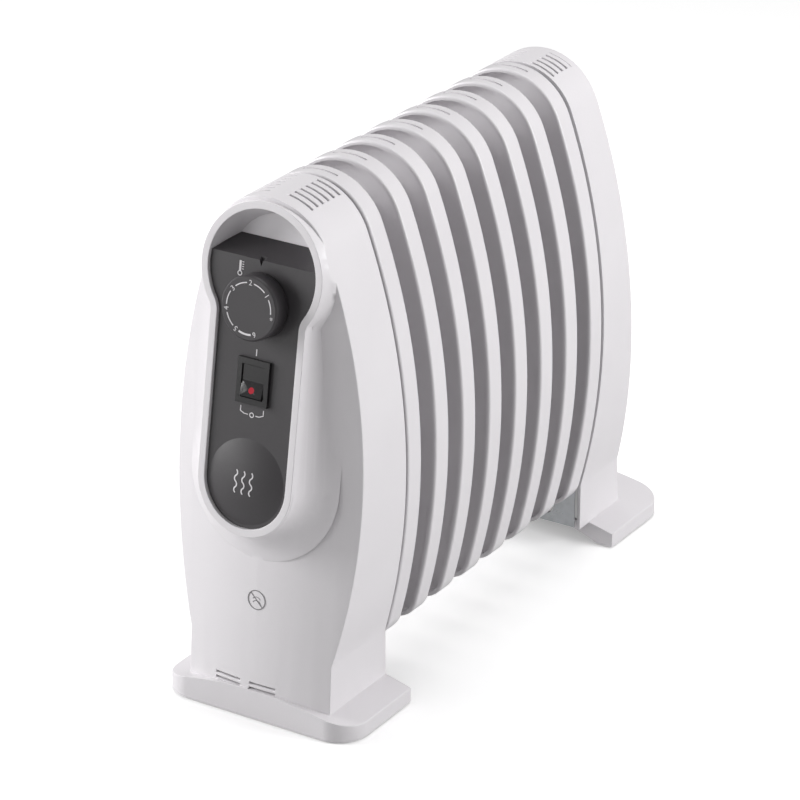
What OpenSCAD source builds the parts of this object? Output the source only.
// Oil filled radiator heater: eight pressed steel fins between two moulded end covers.
//
// Millimetres, +Z up. The origin is on the floor, under the middle of the heater.
// X runs across the heater, and Y along the row of fins. The control panel faces -Y.
// Each sub-part is one module that stands alone.

/* [Body outline] */
// Radius of the gently bowed sides
side_radius = 470; // [300:10:700]
// Half the greatest width of a fin
half_width = 74; // [60:1:90]
// Height at which the fins are widest
widest_z = 176; // [140:1:220]
// Radius of the rounded top
top_radius = 47; // [40:1:55]
// Radius of the two bottom corners of a fin
corner_radius = 20; // [8:1:30]
// Height of the underside of the fins
fin_bottom_z = 40; // [30:1:60]
// Thickness of the moulded plastic walls
wall = 3; // [2:0.5:4]

/* [Fins] */
// Number of fins
fin_count = 8; // [4:1:11]
// Distance from one fin to the next
fin_pitch = 35; // [30:0.5:45]
// Width of a fin's folded rim, along Y
rim_width = 16.4; // [10:0.2:24]
// Thickness of the steel plate
plate = 0.6; // [0.5:0.1:1.5]
// Y of the middle of the first fin
first_fin_y = -125; // [-140:1:-110]
// Length of the slot in the top of each rim
rim_slot_length = 27; // [15:1:40]
// How far the oil chamber's outline is inside the fin's
chamber_inset = 26; // [20:1:35]
// How far the oil chamber bulges from the seam
chamber_depth = 6; // [3:0.5:8]
// Outer radius of the collars that join the fins
collar_radius = 17; // [14:0.5:20]
// Height of the lower row of collars
collar_low_z = 86; // [80:1:110]

/* [End covers] */
// Y of the front cover's rear edge
front_seam_y = -136; // [-145:1:-134]
// Y of the rear cover's front edge
rear_seam_y = 131; // [129:1:140]
// Y of the front cover's corners at the widest height
front_crease_y = -189; // [-200:1:-170]
// Y of the rear cover's corners at the widest height
rear_crease_y = 172; // [160:1:185]
// Lean of the covers' end faces
cover_lean = 4.5; // [0:0.5:10]
// Radius of the bow of the covers' end faces
bow_radius = 254; // [150:1:500]
// Half the width of a cover where it meets its foot
neck_half_width = 57.6; // [50:0.2:65]
// Number of vent slots on each side of a cover's top
vent_count = 6; // [3:1:8]
// Distance from one vent slot to the next
vent_pitch = 6.4; // [5:0.1:8]

/* [Feet] */
// Half the length of each foot, across the heater
foot_half_width = 78; // [70:1:90]
// Y of the front foot's front face
front_foot_y = -214; // [-220:1:-200]
// Y of the rear foot's rear face
rear_foot_y = 225.5; // [210:1:230]
// Y of the rear foot's inner face
rear_foot_inner_y = 144; // [131:1:150]
// Radius of the feet's outer corners
foot_corner = 22; // [10:1:30]
// Height of the top of a foot at its tip
foot_tip_z = 12; // [8:1:18]
// Height of the top of a foot in its middle
foot_crown_z = 23; // [16:1:30]
// Height of the arch under a foot
foot_arch = 15; // [5:1:18]
// Rubber pad showing below a foot
pad_proud = 1; // [0.5:0.1:2]

/* [Control panel] */
// Y of the panel's face at the panel's reference height
panel_y = -207; // [-215:1:-195]
// Reference height on the panel
panel_z = 240; // [200:1:260]
// Lean of the panel
panel_lean = 9.5; // [0:0.5:15]
// Radius of the panel's round head
head_radius = 42; // [36:1:46]
// Radius of the panel's round lower end
tail_radius = 32; // [26:1:36]
// Distance of the head's centre above the reference height
head_up = 83; // [70:1:90]
// Distance of the tail's centre below the reference height
tail_down = 60; // [50:1:80]
// Width of the raised lip round the panel
lip = 5.5; // [3:0.5:8]
// Height of the front edge of the hand recess's ledge
ledge_z = 329.5; // [325:0.5:345]
// Depth of the hand recess
recess_depth = 18; // [14:1:24]
// Radius of the hand recess at its back
recess_back_radius = 36; // [30:1:42]
// Slope of the hand recess's ledge, from square to the panel
ledge_rise = 31; // [0:1:40]

/* [Thermostat knob] */
// Radius of the knob
knob_radius = 22; // [18:0.5:25]
// Height of the knob above the panel
knob_height = 14; // [8:1:18]
// Distance of the knob's centre above the reference height
knob_up = 61; // [50:1:70]
// Radius of the thermostat's spindle
spindle_radius = 3; // [2.5:0.1:4]

/* [Switch] */
// Width of the switch's bezel
bezel_width = 25; // [20:1:30]
// Height of the switch's bezel
bezel_height = 31; // [25:1:36]
// Width of the rocker
rocker_width = 17; // [12:1:20]
// Height of the rocker
rocker_height = 22; // [18:1:26]
// Distance of the switch's centre above the reference height
switch_up = 9; // [0:1:20]
// Tilt of the rocker each way from level
rocker_tilt = 7; // [4:1:12]
// Radius of the rocker's pivot pins
pivot_radius = 1.25; // [1:0.05:2]

/* [Clearances] */
// Gap round a pin that turns
running_gap = 0.05; // [0.02:0.01:0.1]
// Gap between a moving piece and its surround
side_gap = 0.4; // [0.2:0.1:1]

/* [Hidden] */
$fn = 96;
eps = 0.02;
far = 600;
fin_names = [for (k = [1 : fin_count]) for (half = ["front", "rear"]) str("fin_", k, "_", half)];

side_centre_x = side_radius - half_width;
top_centre_z = widest_z + sqrt(pow(side_radius - top_radius, 2) - pow(side_centre_x, 2));
corner_z = fin_bottom_z + corner_radius;
corner_x = sqrt(pow(side_radius - corner_radius, 2) - pow(widest_z - corner_z, 2)) - side_centre_x;
last_fin_y = first_fin_y + (fin_count - 1) * fin_pitch;
collar_high_z = top_centre_z;
collar_bore = collar_radius - plate;
end_collar_y = first_fin_y - fin_pitch / 2;
rear_collar_y = last_fin_y + fin_pitch / 2;
bow_facets = 12;
neck_top_z = 52;
neck_bottom_z = foot_arch + 1;
bracket_thickness = 1.2;
bracket_y = first_fin_y - rim_width / 2;
bracket_front_y = bracket_y - bracket_thickness;
rear_bracket_y = last_fin_y + rim_width / 2;
boss_height = 4;
boss_radius = tail_radius - 2.5;
panel_thickness = 2.5;
pad_width = 9;
pad_x = foot_half_width - pad_width / 2 - 1.5;
foot_hollow_half = pad_x - pad_width / 2 - 1.5;
pad_height = 4;
pad_length = 44;
front_pad_y = (front_foot_y + front_seam_y) / 2 + 4;
rear_pad_y = (rear_foot_y + rear_foot_inner_y) / 2 - 4;
lead_radius = 1.3;
shield_y = bracket_front_y - 15;
face_out = 1.5;
lip_proud = 2.5;
shoulder_radius = 16;
shoulder_x = tail_radius + shoulder_radius;
shoulder_up = head_up - sqrt(pow(head_radius + shoulder_radius, 2) - pow(shoulder_x, 2));
skirt_steps = [[-22, lip + 22], [-19, lip + 14], [-15, lip + 8], [-10, lip + 3.5], [-4, lip + 0.8], [1, lip]];
ledge_up = (ledge_z - panel_z) / cos(panel_lean) - head_up;
rear_ledge_z = 326;
notch_x = -2;
notch_depth = 4;
slot_rows = [23.3, 27];
slot_middle_x = -8;
slot_length = 20.5;
slot_spacing = 28.5;
slot_height = 1.4;
gland_x = 30;
gland_z = 31;
cutout_x = -30;
cutout_z = 190;
element_leg_x = 7.5;
element_radius = 4.2;
screw_points = [[-52, 110], [52, 110], [-52, 250], [52, 250]];

// ---------- shared shapes ----------

// The body's outline in the X-Z plane, drawn inward by inset, cut off below z_low
module bowed_outline(inset, z_low) {
    side_r = side_radius - inset;
    top_r = top_radius - inset;
    tangent_z = top_centre_z + top_r * (top_centre_z - widest_z) / (side_radius - top_radius);
    intersection() {
        translate([-side_centre_x, widest_z]) circle(side_r);
        translate([side_centre_x, widest_z]) circle(side_r);
        translate([-half_width, z_low]) square([2 * half_width, tangent_z - z_low]);
    }
    translate([0, top_centre_z]) circle(top_r);
}

// The outline of a fin, with its rounded bottom corners
module fin_outline(inset) {
    corner_r = corner_radius - inset;
    tangent_z = corner_z - corner_r * (widest_z - corner_z) / (side_radius - corner_radius);
    bowed_outline(inset, tangent_z);
    for (side = [-1, 1]) {
        translate([side * corner_x, corner_z]) circle(corner_r + eps);
    }
    translate([-corner_x, fin_bottom_z + inset]) square([2 * corner_x, corner_radius]);
}

// The outline of a cover, which runs straight down into its foot
module cover_outline(inset) {
    bowed_outline(inset, neck_top_z - 1);
    translate([inset - neck_half_width, neck_bottom_z]) {
        square([2 * (neck_half_width - inset), neck_top_z - neck_bottom_z]);
    }
}

// Carries a shape drawn in the X-Z plane along Y, from y0 to y1
module along_y(y0, y1) {
    translate([0, y1, 0]) rotate([90, 0, 0]) linear_extrude(y1 - y0) children();
}

// Places things on the leaning panel: local Y runs up the panel, and local Z out of it
module on_panel(up = 0, out = 0) {
    translate([0, panel_y, panel_z]) rotate([90 - panel_lean, 0, 0]) translate([0, up, out]) children();
}

// Everything behind a cover's bowed end face, moved inward by inset.
// end_sign is -1 for the front cover and +1 for the rear one
module end_face_solid(crease_y, end_sign, inset) {
    bow_angle = asin(half_width / bow_radius);
    axis_y = crease_y - end_sign * bow_radius * cos(bow_angle);
    facet_angle = bow_angle / (bow_facets / 2 - 1);
    translate([0, 0, widest_z]) rotate([end_sign * cover_lean, 0, 0]) translate([0, 0, -far / 2]) {
        linear_extrude(far) polygon(concat(
            [for (k = [-bow_facets / 2 : bow_facets / 2]) [
                (bow_radius - inset) * sin(k * facet_angle),
                axis_y + end_sign * (bow_radius - inset) * cos(k * facet_angle)
            ]],
            [[far / 2, -end_sign * far / 2], [-far / 2, -end_sign * far / 2]]
        ));
    }
}

// The panel's keyhole outline, grown by margin: a round head on a narrower tail, with hollow shoulders
module keyhole(margin) {
    translate([0, head_up]) circle(head_radius + margin);
    translate([0, -tail_down]) circle(tail_radius + margin);
    translate([-tail_radius - margin, -tail_down]) square([2 * (tail_radius + margin), tail_down + head_up]);
    for (side = [-1, 1]) {
        difference() {
            shoulder_web(side);
            translate([side * shoulder_x, shoulder_up]) circle(shoulder_radius - margin);
        }
    }
}

// The wedge between the head's centre and the centre of a shoulder's hollow
module shoulder_web(side) {
    polygon([[0, head_up], [side * shoulder_x, shoulder_up], [0, shoulder_up]]);
}

// One slice of the skirt round the panel, between two [height out of the panel, margin] steps
module skirt_slice(low, high) {
    rise = high[0] - low[0];
    translate([0, head_up, low[0]]) cylinder(h = rise, r1 = head_radius + low[1], r2 = head_radius + high[1]);
    translate([0, -tail_down, low[0]]) {
        cylinder(h = rise, r1 = tail_radius + low[1] + eps, r2 = tail_radius + high[1] + eps);
    }
    translate([0, head_up, 0]) rotate([90, 0, 0]) linear_extrude(head_up + tail_down) polygon([
        [-tail_radius - low[1], low[0]],
        [tail_radius + low[1], low[0]],
        [tail_radius + high[1], high[0]],
        [-tail_radius - high[1], high[0]]
    ]);
    if (low[1] < shoulder_radius) {
        for (side = [-1, 1]) {
            difference() {
                translate([0, 0, low[0]]) linear_extrude(rise) shoulder_web(side);
                translate([side * shoulder_x, shoulder_up, low[0]]) {
                    cylinder(h = rise, r1 = shoulder_radius - low[1], r2 = shoulder_radius - high[1]);
                }
            }
        }
    }
}

// The lip's skirt, which spreads in a soft cove down to the cover's face
module panel_skirt() {
    intersection() {
        on_panel() {
            for (k = [0 : len(skirt_steps) - 2]) {
                skirt_slice(skirt_steps[k], skirt_steps[k + 1]);
            }
        }
        along_y(front_foot_y - 30, front_seam_y - 20) cover_outline(0);
    }
}

// The part of a disc that lies above a level: a hand recess's outline
module disc_above(centre_up, radius, level) {
    intersection() {
        translate([0, centre_up]) circle(radius);
        translate([-radius - 1, level]) square([2 * radius + 2, centre_up + radius + 1 - level]);
    }
}

// The front hand recess between two heights out of the panel, grown by margin and cut off below level.
// It narrows towards its back
module recess_bowl(low, high, margin, level) {
    slope = (head_radius - recess_back_radius) / recess_depth;
    radius_at_face = head_radius + margin;
    intersection() {
        translate([0, 0, low]) {
            cylinder(h = high - low, r1 = radius_at_face + slope * low, r2 = radius_at_face + slope * high);
        }
        translate([-far / 2, level, -far / 2]) cube(far);
    }
}

// A foot's block, before it is hollowed: y_inner faces the fins and y_outer faces away.
// Its top is crowned, and its two outer corners are round
module foot_block(y_inner, y_outer, inset) {
    half = foot_half_width - inset;
    y_near = min(y_inner, y_outer) + inset;
    y_far = max(y_inner, y_outer) - inset;
    corner_y = y_outer + sign(y_inner - y_outer) * foot_corner;
    crown = foot_crown_z - foot_tip_z;
    crown_radius = (pow(foot_half_width, 2) + pow(crown, 2)) / (2 * crown);
    intersection() {
        along_y(y_near, y_far) intersection() {
            translate([0, foot_crown_z - crown_radius]) circle(crown_radius - inset);
            translate([-half - 1, pad_proud]) square([2 * half + 2, foot_crown_z]);
        }
        union() {
            for (side = [-1, 1]) {
                translate([side * (foot_half_width - foot_corner), corner_y, 0]) {
                    cylinder(h = 60, r = foot_corner - inset);
                }
            }
            translate([foot_corner - foot_half_width, y_near, 0]) {
                cube([2 * (foot_half_width - foot_corner), y_far - y_near, 60]);
            }
            translate([-half, min(y_inner, corner_y), 0]) cube([2 * half, abs(corner_y - y_inner), 60]);
        }
    }
}

// A foot: walls under a crowned top, with solid tips that hold the pads
module foot(y_inner, y_outer) {
    difference() {
        foot_block(y_inner, y_outer, 0);
        intersection() {
            foot_block(y_inner, y_outer, wall);
            translate([-foot_hollow_half, -far / 2, 0]) cube([2 * foot_hollow_half, far, 60]);
        }
    }
}

// The hollow under a foot: an arch from tip to tip
module foot_arch_cut(y0, y1) {
    arch_radius = (pow(foot_hollow_half, 2) + pow(foot_arch, 2)) / (2 * foot_arch);
    along_y(y0, y1) translate([0, foot_arch - arch_radius]) circle(arch_radius, $fn = 200);
}

// Sockets for a foot's two rubber pads
module pad_sockets(y_middle) {
    for (side = [-1, 1]) {
        translate([side * pad_x, y_middle, pad_proud + (pad_height - pad_proud) / 2]) {
            cube([pad_width, pad_length, pad_height - pad_proud + eps], center = true);
        }
    }
}

// The curved vent slots in the top of a cover; first_y is the slot nearest the fins
module vent_slots(first_y, end_sign) {
    for (k = [0 : vent_count - 1]) {
        y = first_y + end_sign * k * vent_pitch;
        along_y(y - 0.9, y + 0.9) for (side = [-1, 1]) {
            translate([0, top_centre_z]) polygon([
                [0, 0],
                [side * far * sin(9), far * cos(9)],
                [side * far * sin(33), far * cos(33)]
            ]);
        }
    }
}

// Only the skin of a cover's top, where the vents are cut
module top_skin(y0, y1) {
    along_y(y0, y1) difference() {
        translate([0, top_centre_z]) circle(top_radius + 1);
        translate([0, top_centre_z]) circle(top_radius - wall - 1);
    }
}

// Screw bosses inside a cover, from the end wall to the bracket
module screw_bosses(y0, y1, bore) {
    for (point = screw_points) {
        translate([point[0], y0, point[1]]) rotate([-90, 0, 0]) cylinder(h = y1 - y0, r = bore ? 1.7 : 4);
    }
}

// ---------- end covers ----------

module cover_shell(crease_y, seam_y, end_sign) {
    y0 = min(seam_y, seam_y + end_sign * 90);
    y1 = max(seam_y, seam_y + end_sign * 90);
    difference() {
        intersection() {
            along_y(y0, y1) cover_outline(0);
            end_face_solid(crease_y, end_sign, 0);
        }
        intersection() {
            along_y(y0 - 1, y1 + 1) cover_outline(wall);
            end_face_solid(crease_y, end_sign, wall);
        }
    }
}

// The space inside a cover, used to trim bosses and walls to the skin
module cover_inside(crease_y, seam_y, end_sign) {
    intersection() {
        along_y(min(seam_y, seam_y + end_sign * 90), max(seam_y, seam_y + end_sign * 90)) {
            cover_outline(wall / 2);
        }
        end_face_solid(crease_y, end_sign, wall / 2);
    }
}

module front_cover() {
    color("white") difference() {
        union() {
            difference() {
                union() {
                    cover_shell(front_crease_y, front_seam_y, -1);
                    on_panel(out = -30) linear_extrude(30 + lip_proud) keyhole(lip);
                    panel_skirt();
                    foot(front_seam_y, front_foot_y);
                }
                // the bore of the panel's surround, clear through the cover's wall
                on_panel(out = -40) linear_extrude(60) keyhole(0);
                // inside the surround, behind the panel
                intersection() {
                    along_y(front_crease_y - 40, front_seam_y) cover_outline(wall);
                    end_face_solid(front_crease_y, -1, wall);
                }
            }
            // rebate that the panel rests on
            on_panel(out = -panel_thickness - 3) linear_extrude(3 - eps) difference() {
                keyhole(0.5);
                keyhole(-2.5);
                translate([-far / 2, head_up + ledge_up - panel_thickness - 1]) square(far);
            }
            // hand recess: the walls and back of a bowl under the arch
            on_panel(up = head_up) difference() {
                recess_bowl(-recess_depth - wall, 1, 1.5, ledge_up);
                recess_bowl(-recess_depth, 2, 0, ledge_up - 1);
            }
            intersection() {
                screw_bosses(front_crease_y - 20, bracket_front_y, false);
                cover_inside(front_crease_y, front_seam_y, -1);
            }
        }
        screw_bosses(bracket_y - 20, bracket_y, true);
        foot_arch_cut(front_foot_y + wall + 1, front_seam_y + 1);
        pad_sockets(front_pad_y);
        intersection() {
            vent_slots(front_seam_y - 5, -1);
            top_skin(front_seam_y - 45, front_seam_y);
        }
        // four slots where the face runs into the foot
        for (side = [-1, 1]) {
            for (z = slot_rows) {
                translate([slot_middle_x + side * slot_spacing / 2, front_foot_y + wall, z]) {
                    cube([slot_length, 4 * wall, slot_height], center = true);
                }
            }
        }
    }
}

module rear_cover() {
    cup_back_y = rear_crease_y - 8 - recess_depth;
    color("white") difference() {
        union() {
            difference() {
                union() {
                    cover_shell(rear_crease_y, rear_seam_y, 1);
                    foot(rear_foot_inner_y, rear_foot_y);
                }
                // the mouth of the hand recess
                along_y(rear_crease_y - 20, rear_foot_y) {
                    disc_above(top_centre_z, head_radius - 2, rear_ledge_z);
                }
                intersection() {
                    along_y(rear_seam_y, rear_foot_y) cover_outline(wall);
                    end_face_solid(rear_crease_y, 1, wall);
                }
            }
            // hand recess: a cup under the arch
            intersection() {
                along_y(cup_back_y, rear_foot_y) difference() {
                    disc_above(top_centre_z, head_radius + 1, rear_ledge_z - wall);
                    disc_above(top_centre_z, head_radius - 2, rear_ledge_z);
                }
                end_face_solid(rear_crease_y, 1, 0);
            }
            along_y(cup_back_y - wall, cup_back_y) {
                disc_above(top_centre_z, head_radius + 1, rear_ledge_z - wall);
            }
            intersection() {
                screw_bosses(rear_bracket_y + bracket_thickness, rear_crease_y + 30, false);
                cover_inside(rear_crease_y, rear_seam_y, 1);
            }
        }
        screw_bosses(rear_bracket_y, rear_bracket_y + 20, true);
        foot_arch_cut(rear_foot_inner_y - 1, rear_foot_y - wall - 1);
        pad_sockets(rear_pad_y);
        intersection() {
            vent_slots(rear_seam_y + 5, 1);
            top_skin(rear_seam_y, rear_seam_y + 30);
        }
    }
}

// ---------- controls ----------

module control_panel() {
    color([0.32, 0.32, 0.34]) difference() {
        union() {
            on_panel(out = -panel_thickness) linear_extrude(panel_thickness) intersection() {
                keyhole(-0.3);
                translate([-far / 2, head_up + ledge_up - far]) square(far);
            }
            // the ledge at the bottom of the hand recess, which rises towards the back
            on_panel(up = head_up) intersection() {
                recess_bowl(0.3 - recess_depth, 0, -side_gap, -far / 2);
                translate([0, ledge_up, 0]) rotate([ledge_rise, 0, 0]) {
                    translate([-head_radius, -panel_thickness, -2 * recess_depth]) {
                        cube([2 * head_radius, panel_thickness, 2 * recess_depth]);
                    }
                }
            }
        }
        // a notch in the ledge's front edge, above the knob
        on_panel(up = head_up + ledge_up) linear_extrude(6, center = true) {
            polygon([[notch_x - 2.5, 3], [notch_x + 2.5, 3], [notch_x, -notch_depth]]);
        }
        on_panel(up = knob_up, out = -10) cylinder(h = 20, r = 5.5);
        on_panel(up = switch_up) cube([bezel_width - 4, bezel_height - 4, 20], center = true);
    }
}

module panel_boss() {
    ball_radius = (pow(boss_radius, 2) + pow(boss_height, 2)) / (2 * boss_height);
    color([0.38, 0.38, 0.40]) on_panel(up = -tail_down) intersection() {
        translate([0, 0, boss_height - ball_radius]) sphere(ball_radius, $fn = 200);
        cylinder(h = 2 * boss_height, r = boss_radius);
    }
}

module knob() {
    color([0.2, 0.2, 0.2]) on_panel(up = knob_up) difference() {
        union() {
            translate([0, 0, 1]) cylinder(h = knob_height - 2.5, r = knob_radius);
            translate([0, 0, knob_height - 1.5]) cylinder(h = 1.5, r1 = knob_radius, r2 = knob_radius - 1.2);
        }
        translate([0, 0, -1]) difference() {
            cylinder(h = knob_height - 1, r = knob_radius - 2);
            cylinder(h = knob_height - 1, r = 6);
        }
        translate([0, 0, -1]) cylinder(h = knob_height - 2, r = spindle_radius + 0.01);
    }
}

module spindle() {
    color("silver") on_panel(up = knob_up, out = -18) {
        cylinder(h = 18 + knob_height - 3.5, r = spindle_radius);
    }
}

module thermostat() {
    color("ivory") difference() {
        union() {
            on_panel(up = knob_up, out = -26) translate([-16, -13, 0]) cube([32, 26, 17]);
            on_panel(up = knob_up, out = -9 - eps) cylinder(h = 9 + eps, r = 5);
        }
        on_panel(up = knob_up, out = -18.5) cylinder(h = 30, r = spindle_radius + running_gap);
    }
}

module thermostat_nut() {
    color("silver") on_panel(up = knob_up, out = -panel_thickness - 3) difference() {
        cylinder(h = 2.9, r = 8, $fn = 6);
        translate([0, 0, -1]) cylinder(h = 5, r = 5.01);
    }
}

module switch_housing() {
    well_width = rocker_width + 2 * side_gap;
    well_height = rocker_height + 2 * side_gap;
    color([0.08, 0.08, 0.08]) on_panel(up = switch_up) difference() {
        union() {
            translate([-bezel_width / 2, -bezel_height / 2, 0]) cube([bezel_width, bezel_height, 2.5]);
            translate([-bezel_width / 2 + 2.2, -bezel_height / 2 + 2.2, -16]) {
                cube([bezel_width - 4.4, bezel_height - 4.4, 16 + eps]);
            }
        }
        translate([-well_width / 2, -well_height / 2, -13]) cube([well_width, well_height, 30]);
        rotate([0, 90, 0]) cylinder(h = well_width + 3, r = pivot_radius + running_gap, center = true);
    }
}

// The rocker's solid, drawn level, with its ends rounded about the pivot
module rocker_block() {
    difference() {
        intersection() {
            translate([-rocker_width / 2, -rocker_height / 2, -5]) cube([rocker_width, rocker_height, 9]);
            rotate([0, 90, 0]) cylinder(h = 2 * rocker_width, r = rocker_height / 2, center = true);
        }
        // two faces that meet in a shallow valley over the pivot
        for (end = [-1, 1]) {
            translate([0, 0, face_out]) rotate([end * rocker_tilt, 0, 0]) {
                translate([-rocker_width, end > 0 ? 0 : -rocker_height, 0]) {
                    cube([2 * rocker_width, rocker_height, 20]);
                }
            }
        }
    }
}

module lamp_window(grow) {
    translate([0, -rocker_height / 2 + 5, -1]) cylinder(h = 10, r = 2.2 + grow);
}

// The rocker's upper end is pressed in: the heater is switched on
module rocker() {
    color([0.12, 0.12, 0.12]) on_panel(up = switch_up) rotate([-rocker_tilt, 0, 0]) {
        difference() {
            rocker_block();
            lamp_window(eps);
        }
        rotate([0, 90, 0]) cylinder(h = rocker_width + 2.4, r = pivot_radius, center = true);
    }
}

module switch_lamp() {
    color("red") on_panel(up = switch_up) rotate([-rocker_tilt, 0, 0]) intersection() {
        lamp_window(0);
        rocker_block();
    }
}

// ---------- fins ----------

// One pressed half of a fin; facing is -1 for the front half and +1 for the rear half
module fin_half(number, facing) {
    seam_y = first_fin_y + (number - 1) * fin_pitch;
    translate([0, seam_y, 0]) mirror([0, facing < 0 ? 1 : 0, 0]) difference() {
        union() {
            along_y(0, plate) fin_outline(plate / 2);
            along_y(0, rim_width / 2) difference() {
                fin_outline(0);
                fin_outline(plate);
            }
            along_y(0, chamber_depth) bowed_outline(chamber_inset, corner_z);
            for (z = [collar_low_z, collar_high_z]) {
                along_y(chamber_depth - 1, fin_pitch / 2) translate([0, z]) circle(collar_radius);
            }
        }
        along_y(-1, chamber_depth - plate) bowed_outline(chamber_inset + plate, corner_z + plate);
        for (z = [collar_low_z, collar_high_z]) {
            along_y(-1, fin_pitch) translate([0, z]) circle(collar_bore);
        }
        translate([-rim_slot_length / 2, -1, top_centre_z + top_radius - 8]) cube([rim_slot_length, 2, 20]);
    }
}

// ---------- heating element and fittings ----------

module heating_element() {
    bend_y = last_fin_y - 6;
    color("silver") translate([0, 0, collar_low_z]) {
        for (side = [-1, 1]) {
            translate([side * element_leg_x, end_collar_y - 6, 0]) rotate([-90, 0, 0]) {
                cylinder(h = bend_y - end_collar_y + 6, r = element_radius);
            }
            translate([side * element_leg_x, end_collar_y - 20, 0]) rotate([-90, 0, 0]) {
                cylinder(h = 15, r = 1.8);
            }
        }
        translate([0, bend_y, 0]) intersection() {
            rotate_extrude() translate([element_leg_x, 0]) circle(element_radius);
            translate([-far / 2, 0, -far / 2]) cube([far, far, far]);
        }
    }
}

module element_flange() {
    color("goldenrod") difference() {
        translate([0, end_collar_y - 5, collar_low_z]) rotate([-90, 0, 0]) cylinder(h = 4, r = 20);
        for (side = [-1, 1]) {
            translate([side * element_leg_x, end_collar_y - 10, collar_low_z]) rotate([-90, 0, 0]) {
                cylinder(h = 12, r = element_radius + 0.01);
            }
        }
    }
}

module element_gasket() {
    color("black") difference() {
        translate([0, end_collar_y - 1, collar_low_z]) rotate([-90, 0, 0]) cylinder(h = 1, r = 19);
        translate([0, end_collar_y - 2, collar_low_z]) rotate([-90, 0, 0]) cylinder(h = 4, r = 13);
    }
}

module filler_plug() {
    color("goldenrod") translate([0, rear_collar_y, collar_low_z]) rotate([-90, 0, 0]) {
        translate([0, 0, -8]) cylinder(h = 8 + eps, r = 15);
        cylinder(h = 1.5, r = 18);
        translate([0, 0, 1.5 - eps]) cylinder(h = 5, r = 8, $fn = 6);
    }
}

// Pressed caps that close the other collars at the two ends of the stack
module blanking_caps() {
    color("gainsboro") {
        translate([0, end_collar_y - 1.2, collar_high_z]) rotate([-90, 0, 0]) cylinder(h = 1.2, r = 18);
        translate([0, rear_collar_y, collar_high_z]) rotate([-90, 0, 0]) cylinder(h = 1.2, r = 18);
    }
}

module bracket_plate(y0) {
    difference() {
        along_y(y0, y0 + bracket_thickness) intersection() {
            cover_outline(wall + 0.5);
            translate([-half_width, foot_arch + 3]) square([2 * half_width, far]);
        }
        for (z = [collar_low_z, collar_high_z]) {
            translate([0, y0 - 1, z]) rotate([-90, 0, 0]) cylinder(h = 5, r = collar_radius + 0.2);
        }
        for (point = screw_points) {
            translate([point[0], y0 - 1, point[1]]) rotate([-90, 0, 0]) cylinder(h = 5, r = 2.2);
        }
        // hole for the cord's gland
        translate([gland_x, y0 - 1, gland_z]) rotate([-90, 0, 0]) cylinder(h = 5, r = 6.55);
    }
}

module front_bracket() {
    color("gainsboro") bracket_plate(bracket_front_y);
}

module rear_bracket() {
    color("gainsboro") bracket_plate(rear_bracket_y);
}

// Bright plate on two legs that keeps the fins' heat off the controls
module heat_shield() {
    color("silver") difference() {
        along_y(shield_y, bracket_front_y) difference() {
            translate([-36, 200]) square([72, 90]);
            translate([-35.4, 199]) square([70.8, 92]);
        }
        translate([-20, shield_y + 4, 230]) cube([60, 4, 30]);
    }
    color("silver") along_y(shield_y - 0.6, shield_y) translate([-36, 200]) square([72, 90]);
}

module thermal_cutout() {
    color("ivory") translate([cutout_x, bracket_front_y, cutout_z]) rotate([90, 0, 0]) {
        cylinder(h = 4, r = 8);
        translate([-3, -12, 1]) cube([6, 24, 1]);
    }
}

// Spring strap that holds the cut-out against the bracket
module cutout_clip() {
    color("silver") translate([cutout_x, bracket_front_y - 4.8, cutout_z - 4]) {
        translate([-14, 0, 0]) cube([28, 0.8, 8]);
        for (x = [-14, 13.2]) {
            translate([x, 0, 0]) cube([0.8, 4.8, 8]);
        }
    }
}

module terminal_block() {
    color("ivory") difference() {
        translate([-18, bracket_front_y - 14, 50]) cube([36, 14, 12]);
        for (x = [-12, 0, 12]) {
            translate([x, bracket_front_y - 7, 49]) cylinder(h = 20, r = 2.4);
        }
    }
}

// Rubber grommet that the mains cord passes through, under the first fin
module cord_gland() {
    color([0.15, 0.15, 0.15]) translate([gland_x, bracket_y, gland_z]) rotate([90, 0, 0]) difference() {
        union() {
            translate([0, 0, -3]) cylinder(h = 3, r = 9);
            translate([0, 0, -eps]) cylinder(h = 9, r = 6.5);
        }
        translate([0, 0, -4]) cylinder(h = 20, r = 3.6);
    }
}

// A lead: straight runs with round joints between them
module lead(points) {
    for (k = [0 : len(points) - 2]) {
        run = points[k + 1] - points[k];
        length = norm(run);
        tilt = acos(run[2] / length);
        turn = atan2(run[1], run[0]);
        translate(points[k]) {
            rotate([0, tilt, turn]) cylinder(h = length, r = lead_radius, $fn = 10);
            sphere(lead_radius, $fn = 10);
        }
    }
}

module live_lead() {
    color("saddlebrown") lead([
        [12, bracket_front_y - 7, 56],
        [12, bracket_front_y - 7, 63.6],
        [26, bracket_front_y - 12, 76],
        [26, bracket_front_y - 16, 110],
        [20, bracket_front_y - 30, 160],
        [8, bracket_front_y - 58.5, 232]
    ]);
}

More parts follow.
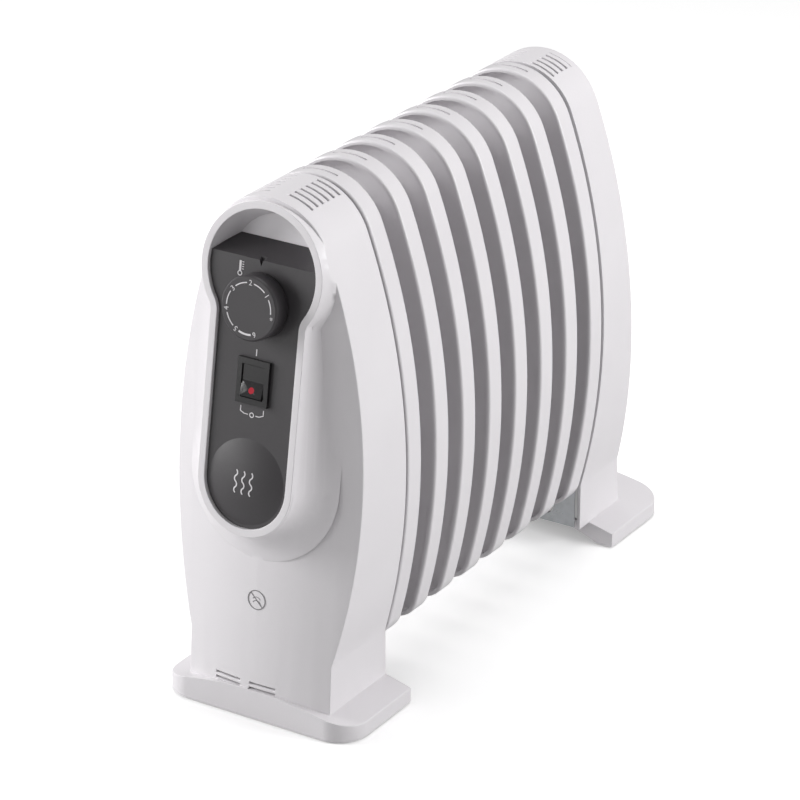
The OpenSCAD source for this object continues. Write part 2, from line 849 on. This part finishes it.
module neutral_lead() {
    color("royalblue") lead([
        [0, bracket_front_y - 7, 56],
        [0, bracket_front_y - 7, 63.6],
        [0, bracket_front_y - 19, 63.6],
        [element_leg_x, end_collar_y - 23, collar_low_z]
    ]);
}

module earth_lead() {
    color("yellowgreen") lead([
        [-12, bracket_front_y - 7, 56],
        [-12, bracket_front_y - 7, 63.6],
        [-26, bracket_front_y - 9, 76],
        [-34, bracket_front_y - 8, 128],
        [-34, bracket_front_y - 6, 136]
    ]);
}

module earth_screw() {
    color("goldenrod") translate([-34, bracket_front_y, 138]) rotate([90, 0, 0]) {
        cylinder(h = 2, r = 2);
        translate([0, 0, 2 - eps]) cylinder(h = 2.5, r = 4);
    }
}

// Eight alike: four through each bracket into the cover's bosses
module cover_screws() {
    color("silver") for (point = screw_points) {
        translate([point[0], bracket_y, point[1]]) rotate([90, 0, 0]) cover_screw();
        translate([point[0], rear_bracket_y, point[1]]) rotate([-90, 0, 0]) cover_screw();
    }
}

// One screw, with the underside of its head at the origin and its shank along +Z
module cover_screw() {
    translate([0, 0, -2]) cylinder(h = 2, r = 3.6);
    translate([0, 0, -eps]) cylinder(h = 14, r = 1.65);
}

// Four rubber pads, two under each foot
module foot_pads() {
    color("dimgray") for (y = [front_pad_y, rear_pad_y]) {
        for (side = [-1, 1]) {
            translate([side * pad_x - pad_width / 2 + 0.1, y - pad_length / 2 + 0.1, 0]) {
                cube([pad_width - 0.2, pad_length - 0.2, pad_height - 0.1]);
            }
        }
    }
}

// ---------- the nodes ----------

front_cover();
rear_cover();
control_panel();
panel_boss();
knob();
spindle();
thermostat();
thermostat_nut();
switch_housing();
rocker();
switch_lamp();
for (k = [1 : fin_count]) {
    color("gainsboro") fin_half(k, -1);
    color("lightgray") fin_half(k, 1);
}
heating_element();
element_flange();
element_gasket();
filler_plug();
blanking_caps();
front_bracket();
rear_bracket();
heat_shield();
thermal_cutout();
cutout_clip();
terminal_block();
cord_gland();
live_lead();
neutral_lead();
earth_lead();
earth_screw();
cover_screws();
foot_pads();
